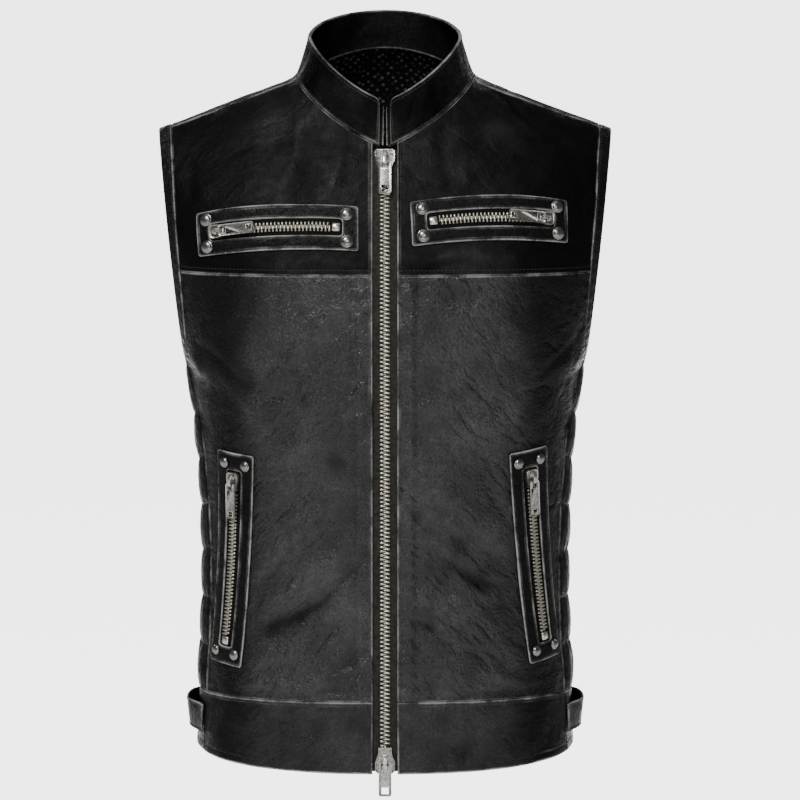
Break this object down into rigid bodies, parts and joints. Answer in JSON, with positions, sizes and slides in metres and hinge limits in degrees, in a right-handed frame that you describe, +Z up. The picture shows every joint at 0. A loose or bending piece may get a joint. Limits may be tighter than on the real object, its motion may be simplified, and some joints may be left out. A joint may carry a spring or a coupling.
{
  "type": "leather vest",
  "caption": "Sleeveless leather zip vest with a stand collar, zip pockets, quilted sides and a waistband, hollow as worn.",
  "frame": {"origin": "midway between the two sides of the collar's foot, at the height of the shoulder line, where the wearer holds the vest up", "axes": "+Z up, +X to the wearer's left, the zipped front faces -Y"},
  "size_m": [0.4256, 0.2423, 0.7234],
  "materials": {
    "leather": "black, lightly pebbled, satin, rubbed grey along edges and seams",
    "lining": "matt black mesh with small holes",
    "tape": "matt black woven zip tape",
    "metal": "aged silver"
  },
  "bodies": {
    "vest": {"front_yoke_left": "leather", "front_lower_left": "leather", "side_panel_left": "leather", "front_yoke_right": "leather", "front_lower_right": "leather", "side_panel_right": "leather", "back": "leather", "lining_back": "lining", "collar": "leather", "collar_facing_left": "leather", "collar_facing_right": "leather", "armhole_binding_left": "leather", "armhole_binding_right": "leather", "waistband_front_left": "leather", "waistband_front_right": "leather", "waistband_back": "leather", "side_strap_left": "leather", "side_strap_right": "leather", "zip_tape_left": "tape", "zip_tape_right": "tape", "zip_chain": "metal", "zip_top_slider": "metal", "zip_bottom_slider": "metal", "chest_pocket_left_patch": "leather", "chest_pocket_left_rivet_1": "metal", "chest_pocket_left_rivet_2": "metal", "chest_pocket_left_rivet_3": "metal", "chest_pocket_left_rivet_4": "metal", "chest_pocket_left_zip": "tape", "chest_pocket_left_slider": "metal", "chest_pocket_right_patch": "leather", "chest_pocket_right_rivet_1": "metal", "chest_pocket_right_rivet_2": "metal", "chest_pocket_right_rivet_3": "metal", "chest_pocket_right_rivet_4": "metal", "chest_pocket_right_zip": "tape", "chest_pocket_right_slider": "metal", "lower_pocket_left_patch": "leather", "lower_pocket_left_rivet_1": "metal", "lower_pocket_left_rivet_2": "metal", "lower_pocket_left_rivet_3": "metal", "lower_pocket_left_rivet_4": "metal", "lower_pocket_left_zip": "tape", "lower_pocket_left_slider": "metal", "lower_pocket_right_patch": "leather", "lower_pocket_right_rivet_1": "metal", "lower_pocket_right_rivet_2": "metal", "lower_pocket_right_rivet_3": "metal", "lower_pocket_right_rivet_4": "metal", "lower_pocket_right_zip": "tape", "lower_pocket_right_slider": "metal"},
    "zip_top_pull": {"zip_top_pull": "metal"},
    "zip_bottom_pull": {"zip_bottom_pull": "metal"},
    "chest_pocket_left_pull": {"chest_pocket_left_pull": "metal"},
    "chest_pocket_right_pull": {"chest_pocket_right_pull": "metal"},
    "lower_pocket_left_pull": {"lower_pocket_left_pull": "metal"},
    "lower_pocket_right_pull": {"lower_pocket_right_pull": "metal"}
  },
  "joints": [
    {"name": "zip_top_pull_hinge", "type": "hinge", "parent": "vest", "child": "zip_top_pull", "pos_m": [0, -0.07958, -0.07294], "axis": [-1, 0, 0], "range_deg": [0, 140]},
    {"name": "zip_bottom_pull_hinge", "type": "hinge", "parent": "vest", "child": "zip_bottom_pull", "pos_m": [0, -0.12147, -0.6316], "axis": [-1, 0, 0], "range_deg": [0, 140]},
    {"name": "chest_pocket_left_pull_hinge", "type": "hinge", "parent": "vest", "child": "chest_pocket_left_pull", "pos_m": [0.1473, -0.09178, -0.12325], "axis": [0.0265, 0.2884, 0.9571], "range_deg": [0, 140]},
    {"name": "chest_pocket_right_pull_hinge", "type": "hinge", "parent": "vest", "child": "chest_pocket_right_pull", "pos_m": [-0.15322, -0.09285, -0.1355], "axis": [0.0706, -0.2407, -0.968], "range_deg": [0, 140]},
    {"name": "lower_pocket_left_pull_hinge", "type": "hinge", "parent": "vest", "child": "lower_pocket_left_pull", "pos_m": [0.13899, -0.0908, -0.37022], "axis": [-0.8213, -0.5592, -0.1129], "range_deg": [0, 140]},
    {"name": "lower_pocket_right_pull_hinge", "type": "hinge", "parent": "vest", "child": "lower_pocket_right_pull", "pos_m": [-0.1444, -0.08649, -0.37386], "axis": [-0.7879, 0.6116, 0.0717], "range_deg": [0, 140]}
  ]
}
